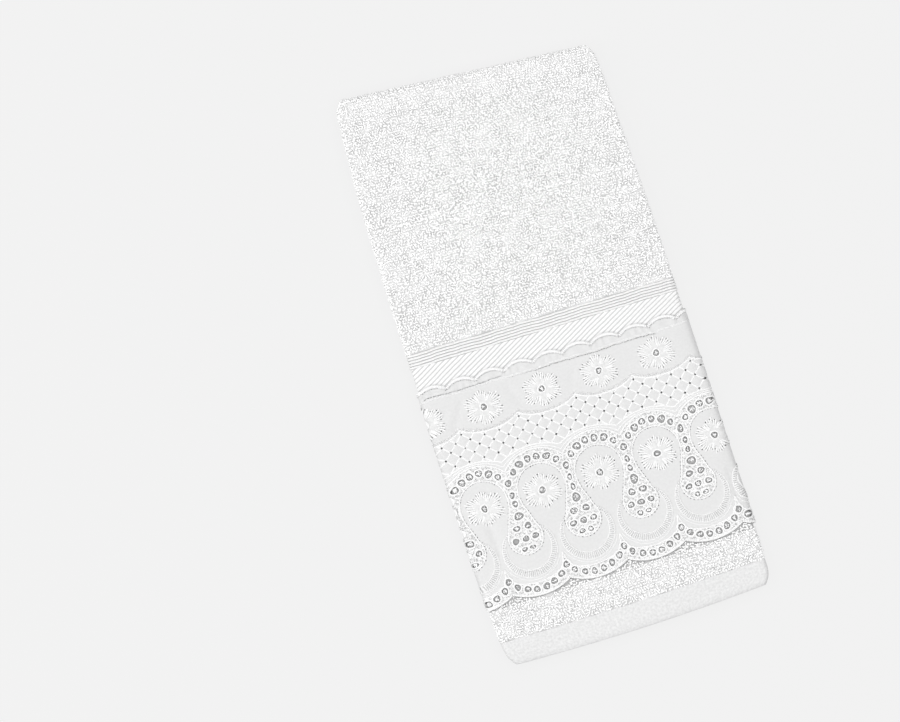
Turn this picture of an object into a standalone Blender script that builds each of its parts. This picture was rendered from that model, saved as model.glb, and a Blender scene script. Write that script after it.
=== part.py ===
"""A folded hand towel with an eyelet-lace border, as solids. Metres, +Z up.

The towel is one length of cotton terry. Its two sides are folded behind to meet at the middle, and then
it is folded in half, so it lies in four layers, a little apart. It lies face up with its hem at -Y, its
top fold at +Y and its centre line over the origin, which is on the surface that it lies on.

Two coordinates say where a point is on the flat cloth: s across it from the middle, and t along it from
the front hem. fold_map carries them to the folded shape. The side folds are a section in the plane across
the towel, and that section is then carried along a path that turns back on itself at the top fold.
"""

import math
from collections import namedtuple

import bmesh
import bpy
import numpy as np
from mathutils.geometry import delaunay_2d_cdt

MM = 0.001

# The cloth as cut, and the towel as folded, with its lace, before the slant of its top fold.
FLAT_WIDTH = 350 * MM
FLAT_LENGTH = 750 * MM
FOLDED_WIDTH = 179 * MM
FOLDED_LENGTH = 375 * MM

# Thicknesses. The pile is pressed down where the lace is sewn over it.
TERRY = 3.0 * MM
HEM = 2.2 * MM
HEM_EDGE = 1.4 * MM
UNDER_LACE = 2.0 * MM
TWILL = 1.6 * MM
RIB_CREST = 2.4 * MM
LACE = 1.0 * MM
GAP = 0.3 * MM

# The layers of one half lie this far apart, which leaves room for the lace between two of them. The
# two halves have a little more room, because lace lies there over a layer of full pile.
LAYER_PITCH = UNDER_LACE + LACE + 2 * GAP
HALF_PITCH = LAYER_PITCH + 0.6 * MM
SIDE_RADIUS = LAYER_PITCH / 2
TOP_RADIUS = LAYER_PITCH + HALF_PITCH / 2

# Heights over the middle of the cloth's thickness, and half the width of the flat front panel.
LACE_LIFT = UNDER_LACE / 2 + GAP + LACE / 2
PANEL_HALF = FOLDED_WIDTH / 2 - SIDE_RADIUS - LACE_LIFT - LACE / 2
STRAIGHT = FOLDED_LENGTH - TOP_RADIUS - TERRY / 2
TOP_ARC = math.pi * TOP_RADIUS
REST_Z = TERRY / 2
FRONT_Z = REST_Z + 2 * TOP_RADIUS

# The woven bands of the front end, as distances from its hem edge.
HEM_END = 16.7 * MM
LACE_LOW = 39.3 * MM
LACE_TOP = 184.6 * MM
TWILL_START = 183.4 * MM
RIBS_START = 198.8 * MM
RIB_PITCH = 1.88 * MM
RIB_COUNT = 5
RAMP = 0.8 * MM

# The outline: how far each side is drawn in, by distance from the hem edge.
DrawnIn = namedtuple("DrawnIn", "distance left right")
OUTLINE = [
    DrawnIn(0 * MM, 7.0 * MM, 4.5 * MM),
    DrawnIn(4 * MM, 4.2 * MM, 2.0 * MM),
    DrawnIn(18 * MM, 1.2 * MM, 0.3 * MM),
    DrawnIn(43 * MM, 0.4 * MM, 0.0 * MM),
    DrawnIn(106 * MM, 0.0 * MM, 0.4 * MM),
    DrawnIn(185 * MM, 0.0 * MM, 1.0 * MM),
    DrawnIn(250 * MM, 0.4 * MM, 1.6 * MM),
    DrawnIn(326 * MM, 2.3 * MM, 3.6 * MM),
    DrawnIn(357 * MM, 4.5 * MM, 4.7 * MM),
    DrawnIn(368 * MM, 5.6 * MM, 5.8 * MM),
    DrawnIn(375 * MM, 9.0 * MM, 8.5 * MM),
]
BACK_DRAWN_IN = 0.6 * MM

# The top fold slants down to the right, the hem bows, and its edge droops. The face has low swells.
SLANT_DROP = 14.3 * MM
SLANT_START = 150 * MM
SLANT_HALF = 80 * MM
HEM_BOW = 2.5 * MM
HEM_BOW_REACH = 60 * MM
DROOP = 1.5 * MM
DROOP_REACH = 6 * MM
Swell = namedtuple("Swell", "height across along phase")
SWELLS = [
    Swell(0.45 * MM, 160 * MM, 230 * MM, 0.4),
    Swell(0.30 * MM, -110 * MM, 150 * MM, 1.9),
]

# The lace: its repeat, where the line of the first drop motif runs, and its scalloped edges.
REPEAT = 38.0 * MM
DROP_LINE = -13.3 * MM
LOW_SCALLOP = 5.0 * MM
TOP_SCALLOP = 4.2 * MM

# Eyelets of over 4 mm in one repeat: place across from the drop line, height from the hem edge, size.
Eyelet = namedtuple("Eyelet", "across up width height")
DROP_EYELETS = [
    Eyelet(0.0 * MM, 112.4 * MM, 4.1 * MM, 4.7 * MM),
    Eyelet(0.0 * MM, 91.1 * MM, 5.4 * MM, 5.4 * MM),
    Eyelet(3.8 * MM, 83.5 * MM, 4.5 * MM, 4.1 * MM),
    Eyelet(6.6 * MM, 76.0 * MM, 4.4 * MM, 3.7 * MM),
    Eyelet(0.0 * MM, 76.0 * MM, 4.4 * MM, 3.7 * MM),
    Eyelet(3.0 * MM, 43.6 * MM, 4.2 * MM, 4.2 * MM),
    Eyelet(8.9 * MM, 45.2 * MM, 4.2 * MM, 4.2 * MM),
    Eyelet(14.7 * MM, 48.4 * MM, 4.2 * MM, 4.2 * MM),
]
FLOWER_EYELETS = [
    Eyelet(0.0 * MM, 101.7 * MM, 4.2 * MM, 4.2 * MM),
    Eyelet(0.0 * MM, 53.1 * MM, 4.2 * MM, 4.4 * MM),
]
ARCH_UP = 103.8 * MM
ARCH_RADIUS = 20.1 * MM
ARCH_STEP = math.radians(17.6)
ARCH_SIZES = [4.4 * MM, 4.9 * MM, 4.1 * MM]
EYELET_SIDES = 8

# How finely the solids are drawn.
FOLD_STEPS = 6
TOP_FOLD_STEPS = 10
PANEL_STEPS = 10
FLAP_STEPS = 5
LONG_STEP = 27 * MM
SHORT_STEP = 16 * MM
FOLD_LINES = PANEL_HALF + SIDE_RADIUS * np.linspace(0, math.pi, FOLD_STEPS + 1)

TERRY_COLOUR = (0.93, 0.93, 0.92)
LACE_COLOUR = (0.88, 0.88, 0.87)


def smooth_curve(knots, values, at):
    """A smooth curve through a table: cubic pieces whose slope at each knot is the table's own."""
    knots, values = np.asarray(knots), np.asarray(values)
    slopes = np.gradient(values, knots)
    i = np.clip(np.searchsorted(knots, at) - 1, 0, len(knots) - 2)
    span = knots[i + 1] - knots[i]
    u = np.clip((at - knots[i]) / span, 0, 1)
    start, end = values[i], values[i + 1]
    lean_in, lean_out = slopes[i] * span, slopes[i + 1] * span
    cubic = 2 * (start - end) + lean_in + lean_out
    square = 3 * (end - start) - 2 * lean_in - lean_out
    return ((cubic * u + square) * u + lean_in) * u + start


def side_section(s, lift):
    """Across the towel: a flat panel, a half circle at each side, and a flap behind. Gives x and depth.

    lift is a height over the middle of the cloth's thickness, on its face side."""
    along = np.abs(s) - PANEL_HALF
    angle = np.clip(along / SIDE_RADIUS, 0, math.pi)
    behind = np.maximum(along - math.pi * SIDE_RADIUS, 0)
    radius = SIDE_RADIUS + lift
    x = np.minimum(np.abs(s), PANEL_HALF) + radius * np.sin(angle) - behind
    depth = radius * np.cos(angle) - SIDE_RADIUS
    return np.sign(s) * x, depth


def fold_path(t):
    """Along the towel: the front, a half circle at the top, and the back. Gives y from the hem, z, turn."""
    turn = np.clip((t - STRAIGHT) / TOP_RADIUS, 0, math.pi)
    back = np.maximum(t - STRAIGHT - TOP_ARC, 0)
    y = np.minimum(t, STRAIGHT) + TOP_RADIUS * np.sin(turn) - back
    z = REST_Z + TOP_RADIUS * (1 + np.cos(turn))
    return y, z, turn


def swell(x, y):
    """The height of the low swells on the face: a sum of slanting waves."""
    waves = [w.height * np.sin(2 * math.pi * (x / w.across + y / w.along) + w.phase) for w in SWELLS]
    return sum(waves)


def fold_map(s, t, lift, sink=0.0):
    """Carries points of the flat cloth to the folded towel. sink moves them outward at the back."""
    x, depth = side_section(s, lift)
    path_y, path_z, turn = fold_path(t)
    y = path_y + depth * np.sin(turn)
    z = path_z + (depth + np.where(turn > math.pi / 2, sink, 0)) * np.cos(turn)

    knots = [row.distance for row in OUTLINE]
    left = smooth_curve(knots, [row.left for row in OUTLINE], path_y)
    right = smooth_curve(knots, [row.right for row in OUTLINE], path_y)
    half = FOLDED_WIDTH / 2
    drawn_in = np.where(x < 0, left, right) + BACK_DRAWN_IN * (1 - np.cos(turn)) / 2
    x = x * (1 - drawn_in / half)

    share = np.clip((x / SLANT_HALF + 1) / 2, 0, 1)
    rise = np.maximum((y - SLANT_START) / (FOLDED_LENGTH - SLANT_START), 0)
    bow = HEM_BOW * (x / half) ** 2 * np.clip(1 - y / HEM_BOW_REACH, 0, 1) ** 2
    droop = DROOP * np.clip(1 - y / DROOP_REACH, 0, 1) ** 2
    height = np.clip((z - REST_Z) / (FRONT_Z - REST_Z), 0, 1)
    z = z + height * (swell(x, y) - droop)
    y = y - SLANT_DROP * share * rise + bow - FOLDED_LENGTH / 2
    return np.stack([x, y, z], axis=-1)


def across_lines():
    """The towel's lines across the flat cloth: close ones round each side fold, even ones elsewhere."""
    flap = np.linspace(FOLD_LINES[-1], FLAT_WIDTH / 2, FLAP_STEPS + 1)
    side = np.concatenate([FOLD_LINES, flap[1:]])
    panel = np.linspace(-PANEL_HALF, PANEL_HALF, PANEL_STEPS + 1)
    return np.concatenate([-side[::-1], panel[1:-1], side])


def even_rows(start, end, thickness, step=LONG_STEP):
    """Rows from start to end, about a step apart, of one thickness."""
    count = max(1, round((end - start) / step))
    return [(t, thickness) for t in np.linspace(start, end, count + 1)]


def rib_rows():
    """Three rows a rib: its valley and the two edges of its crest."""
    rows = []
    for rib in range(RIB_COUNT):
        start = RIBS_START + rib * RIB_PITCH
        rows.append((start, TWILL))
        rows.append((start + RIB_PITCH * 0.35, RIB_CREST))
        rows.append((start + RIB_PITCH * 0.75, RIB_CREST))
    rows.append((RIBS_START + RIB_COUNT * RIB_PITCH, TWILL))
    return rows


def cloth_rows():
    """The towel's rows from the front hem to the rear one, each with the cloth's thickness there."""
    lace_start = LACE_LOW - RAMP / 2
    terry_start = RIBS_START + RIB_COUNT * RIB_PITCH + RAMP
    rear_hem = FLAT_LENGTH - HEM_END
    return (
        [(0, HEM_EDGE)]
        + even_rows(RAMP, HEM_END, HEM, HEM_END / 4)
        + even_rows(HEM_END + RAMP, lace_start - RAMP, TERRY)
        + even_rows(lace_start, TWILL_START - RAMP, UNDER_LACE, SHORT_STEP)
        + even_rows(TWILL_START, RIBS_START - RAMP, TWILL)
        + rib_rows()
        + even_rows(terry_start, STRAIGHT, TERRY)
        + even_rows(STRAIGHT, STRAIGHT + TOP_ARC, TERRY, TOP_ARC / TOP_FOLD_STEPS)[1:-1]
        + even_rows(STRAIGHT + TOP_ARC, rear_hem - RAMP, TERRY, 1.5 * LONG_STEP)
        + even_rows(rear_hem, FLAT_LENGTH - RAMP, HEM, HEM_END / 4)
        + [(FLAT_LENGTH, HEM_EDGE)]
    )


def cotton(name, colour, roughness):
    """A matt cotton: one Principled shader with the cloth's colour and roughness."""
    material = bpy.data.materials.new(name)
    material.use_nodes = True
    shader = material.node_tree.nodes["Principled BSDF"]
    shader.inputs["Base Color"].default_value = (*colour, 1)
    shader.inputs["Roughness"].default_value = roughness
    shader.inputs["Metallic"].default_value = 0
    return material


def new_cloth(name, mesh, thickness, material, collection):
    """An object of a sheet's middle surface, with Solidify for its thickness."""
    cloth = bpy.data.objects.new(name, mesh)
    collection.objects.link(cloth)
    mesh.materials.append(material)
    solidify = cloth.modifiers.new("thickness", "SOLIDIFY")
    solidify.thickness = thickness
    solidify.offset = 0
    return cloth, solidify


def make_towel(collection):
    """The terry with its woven border and hems: a grid on the flat cloth, folded and thickened."""
    s_lines = across_lines()
    rows = cloth_rows()
    bm = bmesh.new()
    bmesh.ops.create_grid(bm, x_segments=len(s_lines) - 1, y_segments=len(rows) - 1, size=1)
    mesh = bpy.data.meshes.new("towel")
    bm.to_mesh(mesh)
    bm.free()

    t_rows = np.array([row[0] for row in rows])
    thick = np.array([row[1] for row in rows])
    s = np.tile(s_lines, len(rows))
    t = np.repeat(t_rows, len(s_lines))
    share = np.repeat(thick / TERRY, len(s_lines))
    points = fold_map(s, t, 0.0, (TERRY / 2) * (1 - share))
    mesh.vertices.foreach_set("co", points.ravel())

    towel, solidify = new_cloth("towel", mesh, TERRY, cotton("cotton_terry", TERRY_COLOUR, 0.95), collection)
    group = towel.vertex_groups.new(name="thickness")
    for vertex, weight in enumerate(share):
        group.add([vertex], float(weight), "REPLACE")
    solidify.vertex_group = group.name
    return towel


def scallop(s, pitch, centre, height):
    """An arc of a circle over each pitch, highest at its centres and zero at its cusps."""
    half = pitch / 2
    radius = (half**2 + height**2) / (2 * height)
    off = (s - centre + half) % pitch - half
    return np.sqrt(radius**2 - off**2) - (radius - height)


def lace_outline(folds):
    """The lace's flat outline, counterclockwise: scallops below, a straight side, scallops above."""
    end = FLAT_WIDTH / 2
    steps = np.arange(-end, end, REPEAT / 8)
    near_fold = np.min(np.abs(steps[:, None] - folds[None, :]), axis=1) < LACE
    s = np.sort(np.concatenate([steps[~near_fold], folds, [end]]))
    low = LACE_LOW + LOW_SCALLOP - scallop(s, REPEAT, DROP_LINE, LOW_SCALLOP)
    peak_line = DROP_LINE + REPEAT / 4
    top = LACE_TOP - TOP_SCALLOP + scallop(s, REPEAT / 2, peak_line, TOP_SCALLOP)
    return list(zip(s, low)) + list(zip(s[::-1], top[::-1]))


def repeat_eyelets():
    """The large eyelets of one repeat, about its drop line."""
    half = REPEAT / 2
    eyelets = list(DROP_EYELETS)
    eyelets += [e._replace(across=-e.across) for e in DROP_EYELETS if e.across > 0]
    eyelets += [e._replace(across=half) for e in FLOWER_EYELETS]
    for number, size in enumerate(ARCH_SIZES):
        for angle in ((number + 0.5) * ARCH_STEP, -(number + 0.5) * ARCH_STEP):
            across = half + ARCH_RADIUS * math.sin(angle)
            up = ARCH_UP + ARCH_RADIUS * math.cos(angle)
            eyelets.append(Eyelet(across, up, size, size))
    return eyelets


def lace_eyelets():
    """Every large eyelet on the front panel and round its side folds. The flaps behind stay plain."""
    eyelets = []
    for number in range(-4, 5):
        line = DROP_LINE + number * REPEAT
        eyelets += [e._replace(across=line + e.across) for e in repeat_eyelets()]
    return [e for e in eyelets if abs(e.across) < FOLD_LINES[-1]]


def eyelet_rim(eyelet):
    """The points round one eyelet."""
    turns = (np.arange(EYELET_SIDES) + 0.5) * 2 * math.pi / EYELET_SIDES
    across = eyelet.across + eyelet.width / 2 * np.cos(turns)
    up = eyelet.up + eyelet.height / 2 * np.sin(turns)
    return list(zip(across, up))


def filler_points(eyelets):
    """A grid of points over the plain parts of the lace, so that they follow the swells of the cloth."""
    centres = np.array([(e.across, e.up) for e in eyelets])
    columns = np.arange(-FLAT_WIDTH / 2 + SHORT_STEP / 2, FLAT_WIDTH / 2, SHORT_STEP)
    levels = np.arange(LACE_LOW + SHORT_STEP / 2, LACE_TOP - TOP_SCALLOP, SHORT_STEP)
    points = np.array([(s, up) for s in columns for up in levels])
    from_eyelet = np.linalg.norm(points[:, None] - centres[None], axis=2).min(axis=1)
    from_fold = np.abs(np.abs(points[:, :1]) - FOLD_LINES[None]).min(axis=1)
    clear = (from_eyelet > SHORT_STEP / 3) & (from_fold > SHORT_STEP / 8)
    return [tuple(point) for point in points[clear]]


def make_lace(collection):
    """The eyelet-lace border: its flat outline less its eyelets, cut into triangles, folded, thickened."""
    folds = np.concatenate([-FOLD_LINES[::-1], FOLD_LINES])
    eyelets = lace_eyelets()
    points, faces, edges = [], [], []
    for loop in [lace_outline(folds), *map(eyelet_rim, eyelets)]:
        faces.append(list(range(len(points), len(points) + len(loop))))
        points += loop
    for line in folds:
        edges.append((len(points), len(points) + 1))
        points += [(line, LACE_LOW - LACE), (line, LACE_TOP + LACE)]
    points += filler_points(eyelets)
    flat, _, triangles, _, _, inside = delaunay_2d_cdt(points, edges, faces, 1, 1e-7)
    kept = [list(tri) for tri, within in zip(triangles, inside) if list(within) == [0]]

    used = sorted({corner for tri in kept for corner in tri})
    number = {old: new for new, old in enumerate(used)}
    flat = np.array([flat[old][:] for old in used])
    corners = [[number[old] for old in tri] for tri in kept]
    mesh = bpy.data.meshes.new("lace_trim")
    mesh.from_pydata(fold_map(flat[:, 0], flat[:, 1], LACE_LIFT), [], corners)
    lace, _ = new_cloth("lace_trim", mesh, LACE, cotton("cotton_lace", LACE_COLOUR, 0.9), collection)
    return lace


def main():
    for old in list(bpy.data.objects):
        bpy.data.objects.remove(old)
    collection = bpy.data.collections.new("hand_towel")
    bpy.context.scene.collection.children.link(collection)
    make_towel(collection)
    make_lace(collection)


main()
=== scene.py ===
"""A folded hand towel with an eyelet-lace border, dressed. Metres, +Z up.

Every piece is worked out on the flat cloth first. There s runs across it from the middle, t along it from
the front hem, and lift is a height over the middle of the cloth's thickness, on its face side. fold_map
then carries the piece to the folded towel, with the same folds as the solids have.
"""

import math

import bpy
import numpy as np
from mathutils.geometry import delaunay_2d_cdt
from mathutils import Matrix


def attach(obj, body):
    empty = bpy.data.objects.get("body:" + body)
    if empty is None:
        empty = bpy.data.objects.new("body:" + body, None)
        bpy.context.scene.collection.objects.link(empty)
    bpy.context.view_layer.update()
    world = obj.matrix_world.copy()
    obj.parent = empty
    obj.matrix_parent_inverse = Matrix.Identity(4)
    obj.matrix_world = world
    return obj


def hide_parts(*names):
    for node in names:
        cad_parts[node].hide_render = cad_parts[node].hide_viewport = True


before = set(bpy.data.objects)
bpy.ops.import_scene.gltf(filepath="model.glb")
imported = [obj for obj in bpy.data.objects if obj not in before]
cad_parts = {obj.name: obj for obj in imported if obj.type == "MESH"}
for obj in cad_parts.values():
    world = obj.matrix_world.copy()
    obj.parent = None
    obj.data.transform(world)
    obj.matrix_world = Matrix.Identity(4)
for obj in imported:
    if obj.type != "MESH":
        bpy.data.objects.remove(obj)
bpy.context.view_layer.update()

MM = 0.001

# The cloth as cut, and the towel as folded, before the slant of its top fold.
FLAT_WIDTH = 350 * MM
FLAT_LENGTH = 750 * MM
FOLDED_WIDTH = 179 * MM
FOLDED_LENGTH = 375 * MM

# Half the thickness of each part of the towel, the height of the cloth under the pile and under the lace,
# and the space that the layers keep.
TERRY_HALF = 1.5 * MM
HEM_HALF = 1.1 * MM
HEM_EDGE_HALF = 0.7 * MM
PRESSED_HALF = 1.0 * MM
TWILL_HALF = 0.8 * MM
GROUND = 0.5 * MM
PRESSED_GROUND = 0.2 * MM
LAYER_PITCH = 3.6 * MM
SIDE_RADIUS = LAYER_PITCH / 2
TOP_RADIUS = LAYER_PITCH + 2.1 * MM
LACE_LIFT = 1.8 * MM
PANEL_HALF = FOLDED_WIDTH / 2 - SIDE_RADIUS - LACE_LIFT - 0.5 * MM
STRAIGHT = FOLDED_LENGTH - TOP_RADIUS - TERRY_HALF
TOP_ARC = math.pi * TOP_RADIUS
BACK_START = STRAIGHT + TOP_ARC
REST_Z = TERRY_HALF
FRONT_Z = REST_Z + 2 * TOP_RADIUS
FOLD_END = PANEL_HALF + math.pi * SIDE_RADIUS

# The woven bands of the front end, as distances from its hem edge, and how far a change of thickness runs.
HEM_END = 16.7 * MM
PRESSED_START = 38.5 * MM
TWILL_START = 179.0 * MM
RIBS_START = 198.8 * MM
RIB_PITCH = 1.88 * MM
RIB_COUNT = 5
RIBS_END = RIBS_START + RIB_COUNT * RIB_PITCH
REAR_HEM = FLAT_LENGTH - HEM_END
CHANGE = 0.8 * MM

# Along the cloth: a place, the height of its face over the middle and of the middle over its hidden side
# there, and the spacing of the mesh's lines up to it.
BANDS = np.array(
    [
        (0, HEM_EDGE_HALF, HEM_EDGE_HALF, 0),
        (CHANGE, HEM_HALF, HEM_HALF, 0.2 * MM),
        (HEM_END, HEM_HALF, HEM_HALF, 2 * MM),
        (HEM_END + CHANGE, GROUND, TERRY_HALF, 0.4 * MM),
        (PRESSED_START - CHANGE, GROUND, TERRY_HALF, 4 * MM),
        (PRESSED_START, PRESSED_GROUND, PRESSED_HALF, 0.8 * MM),
        (TWILL_START - 2 * CHANGE, PRESSED_GROUND, PRESSED_HALF, 5 * MM),
        (TWILL_START - CHANGE, (PRESSED_GROUND + TWILL_HALF) / 2, PRESSED_HALF, 0.4 * MM),
        (TWILL_START, TWILL_HALF, TWILL_HALF, 0.4 * MM),
        (RIBS_START, TWILL_HALF, TWILL_HALF, 0.45 * MM),
        (RIBS_END, TWILL_HALF, TWILL_HALF, RIB_PITCH / 8),
        (RIBS_END + CHANGE, GROUND, TERRY_HALF, 0.4 * MM),
        (STRAIGHT, GROUND, TERRY_HALF, 5 * MM),
        (BACK_START, GROUND, TERRY_HALF, TOP_ARC / 14),
        (REAR_HEM - CHANGE, GROUND, TERRY_HALF, 10 * MM),
        (REAR_HEM, GROUND, HEM_HALF, 0.8 * MM),
        (FLAT_LENGTH - CHANGE, GROUND, HEM_HALF, 4 * MM),
        (FLAT_LENGTH, GROUND, HEM_EDGE_HALF, 0.4 * MM),
    ]
)

# The outline in mm: a distance from the hem edge, and how far the left and right sides are drawn in there.
OUTLINE = [
    (0, 7.0, 4.5),
    (4, 4.2, 2.0),
    (18, 1.2, 0.3),
    (43, 0.4, 0.0),
    (106, 0.0, 0.4),
    (185, 0.0, 1.0),
    (250, 0.4, 1.6),
    (326, 2.3, 3.6),
    (357, 4.5, 4.7),
    (368, 5.6, 5.8),
    (375, 9.0, 8.5),
]
BACK_DRAWN_IN = 0.6 * MM
SLANT_DROP = 14.3 * MM
SLANT_START = 150 * MM
SLANT_HALF = 80 * MM
HEM_BOW = 2.5 * MM
HEM_BOW_REACH = 60 * MM
DROOP = 1.5 * MM
DROOP_REACH = 6 * MM

# Low swells of the face: height, wavelength across and along, and phase.
SWELLS = [(0.45 * MM, 160 * MM, 230 * MM, 0.4), (0.30 * MM, -110 * MM, 150 * MM, 1.9)]

# Soft creases of the face in mm: from (x, y) to (x, y), with y from the hem, then half width and depth. The
# first two are the sides of the lace, where it draws the towel's edge down.
CREASES = [
    (91, 42, 91, 182, 8.0, 1.3),
    (-91, 42, -91, 176, 4.0, 0.4),
    (-69.5, 72, -70.5, 90, 2.9, 1.0),
    (-43.5, 159, -42.0, 167, 1.8, 0.7),
    (-57.0, 170, -54.0, 172, 1.7, 0.7),
    (-73.0, 154, -64.0, 170, 2.3, 0.5),
    (-80.0, 163, -76.0, 166, 1.8, 0.45),
    (-33.0, 170, -28.0, 158, 2.6, 0.35),
    (3.0, 153, 9.0, 168, 2.6, 0.3),
    (67.5, 168, 70.5, 170, 1.7, 0.6),
    (-85.0, 180.4, -70.0, 179.4, 0.9, 0.5),
    (83.4, 60, 83.0, 79, 1.3, 0.5),
    (-31.0, 209.4, -17.0, 210.6, 1.2, 0.55),
    (-54.0, 200.6, -32.0, 203.4, 1.3, 0.4),
    (-84.0, 21, -84.5, 40, 1.7, 0.55),
    (-79.5, 24, -78.5, 40, 1.5, 0.4),
    (83.0, 20, 84.5, 34, 2.0, 0.5),
    (-60.0, 6, -34.0, 12, 2.8, 0.3),
    (30.0, 5, 62.0, 11, 2.8, 0.3),
]

# The lace: its repeat, the line of the first drop motif, and its scalloped edges.
REPEAT = 38.0 * MM
HALF = REPEAT / 2
DROP_LINE = -13.3 * MM
DROP_LINES = DROP_LINE + REPEAT * np.arange(-3, 4)
LACE_LOW = 39.3 * MM
LACE_TOP = 185.6 * MM
LOW_SCALLOP = 5.0 * MM
TOP_SCALLOP = 3.6 * MM
VOILE_HALF = 0.15 * MM
ON_VOILE = LACE_LIFT + VOILE_HALF

# The eyelets of one repeat in mm, about its drop line: place across, height from the hem edge, and size.
# Those at 19 mm lie half a repeat off, on the arch's axis.
MIRRORED = [
    (3.8, 83.5, 4.5, 4.1),
    (6.6, 76.0, 4.4, 3.7),
    (2.7, 69.7, 3.7, 2.9),
    (3.0, 43.6, 4.2, 4.2),
    (8.9, 45.2, 4.2, 4.2),
    (14.7, 48.4, 4.2, 4.2),
]
CENTRED = [
    (0, 112.4, 4.1, 4.7),
    (0, 104.7, 3.0, 4.2),
    (0, 98.5, 3.2, 4.1),
    (0, 91.1, 5.4, 5.4),
    (0, 76.0, 4.4, 3.7),
    (0, 163.0, 3.9, 3.9),
    (19, 101.7, 4.2, 4.2),
    (19, 53.1, 4.2, 4.4),
]

# The arch: its centre, the circles of its eyelets and edges, and the cord that runs over it.
ARCH_UP = 103.8 * MM
ARCH_EYELETS = 20.1 * MM
ARCH_INNER = 15.5 * MM
ARCH_OUTER = 25.0 * MM
ARCH_CORD_UP = 91.2 * MM
ARCH_CORD = 40.0 * MM
ARCH_STEP = math.radians(17.6)
ARCH_SIZES = [4.4 * MM, 4.9 * MM, 4.1 * MM]

# The drop is a stem that widens to a round foot. The satin band hangs under it like a U.
FOOT_UP = 77.2 * MM
FOOT_RADIUS = 11.0 * MM
STEM_UP = [83.5 * MM, 92.0 * MM, 98.0 * MM, 104.0 * MM]
STEM_HALF = [9.05 * MM, 6.2 * MM, 4.2 * MM, 3.5 * MM]
BAND_UP = 68.45 * MM
BAND_RADIUS = 17.4 * MM
BAND_TURN = math.radians(139)

# The flowers: threads fan out round an eyelet, from a dense middle like a star to the petals' edge.
FLOWER_TIP = 11.5 * MM
FLOWER_VALLEY = 8.6 * MM
STAR_TIP = 9.8 * MM
STAR_VALLEY = 5.8 * MM
PETAL_THREADS = 42
UPPER_FLOWER = 163.0 * MM
LOWER_FLOWER = 101.7 * MM

# The lattice of cords between the upper flowers and the arches, row by row from the top.
LATTICE_STEP = REPEAT / 8
LATTICE_ROWS = np.array([155.0, 150.8, 146.3, 141.8, 137.6, 132.8, 128.3, 123.8]) * MM

# The seam over the upper flowers: its height, where its needle holes change sides, and its puckers.
SEAM_UP = 177.0 * MM
SEAM_TURN = -34.0 * MM
SEAM_END = 66 * MM
PUCKER_UP = 180.2 * MM
PUCKER_REACH = 3.6 * MM

# How far apart the loops of the pile stand, and half the thickness of their yarn. Real loops are about
# 1.3 mm apart. These are drawn a little coarser, so that they show.
LOOP_PITCH = 1.66 * MM
YARN_HALF = 0.6 * MM

# How far eyelets and needle holes lie off their places, at random.
UNEVEN = 0.12 * MM

random = np.random.default_rng(11)


# ---------------------------------------------------------------- the folds


def wave(turns, shift=0):
    """A sine wave, from the turns that it has made and a shift in radians."""
    return np.sin(2 * math.pi * turns + shift)


def smooth_curve(knots, values, at):
    """A smooth curve through a table: cubic pieces whose slope at each knot is the table's own."""
    knots, values = np.asarray(knots), np.asarray(values)
    slopes = np.gradient(values, knots)
    i = np.clip(np.searchsorted(knots, at) - 1, 0, len(knots) - 2)
    span = knots[i + 1] - knots[i]
    u = np.clip((at - knots[i]) / span, 0, 1)
    start, end = values[i], values[i + 1]
    lean_in, lean_out = slopes[i] * span, slopes[i + 1] * span
    cubic = 2 * (start - end) + lean_in + lean_out
    square = 3 * (end - start) - 2 * lean_in - lean_out
    return ((cubic * u + square) * u + lean_in) * u + start


def side_section(s, lift):
    """Across the towel: a flat panel, a half circle at each side, and a flap behind. Gives x and depth."""
    along = np.abs(s) - PANEL_HALF
    angle = np.clip(along / SIDE_RADIUS, 0, math.pi)
    behind = np.maximum(along - math.pi * SIDE_RADIUS, 0)
    radius = SIDE_RADIUS + lift
    x = np.minimum(np.abs(s), PANEL_HALF) + radius * np.sin(angle) - behind
    depth = radius * np.cos(angle) - SIDE_RADIUS
    return np.sign(s) * x, depth


def fold_path(t):
    """Along the towel: the front, a half circle at the top, and the back. Gives y from the hem, z, turn."""
    turn = np.clip((t - STRAIGHT) / TOP_RADIUS, 0, math.pi)
    back = np.maximum(t - STRAIGHT - TOP_ARC, 0)
    y = np.minimum(t, STRAIGHT) + TOP_RADIUS * np.sin(turn) - back
    z = REST_Z + TOP_RADIUS * (1 + np.cos(turn))
    return y, z, turn


def swell(x, y):
    """The height of the low swells on the face: a sum of slanting waves."""
    return sum(height * wave(x / across + y / along, phase) for height, across, along, phase in SWELLS)


def crease_depth(x, y):
    """How deep the soft creases are: each a bell over the distance from its line."""
    total = 0
    for x_start, y_start, x_end, y_end, half, depth in np.array(CREASES) * MM:
        run_x, run_y = x_end - x_start, y_end - y_start
        along = ((x - x_start) * run_x + (y - y_start) * run_y) / (run_x**2 + run_y**2)
        along = np.clip(along, 0, 1)
        away = np.hypot(x - x_start - along * run_x, y - y_start - along * run_y)
        total = total + depth * np.exp(-((away / half) ** 2))
    return total


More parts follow.
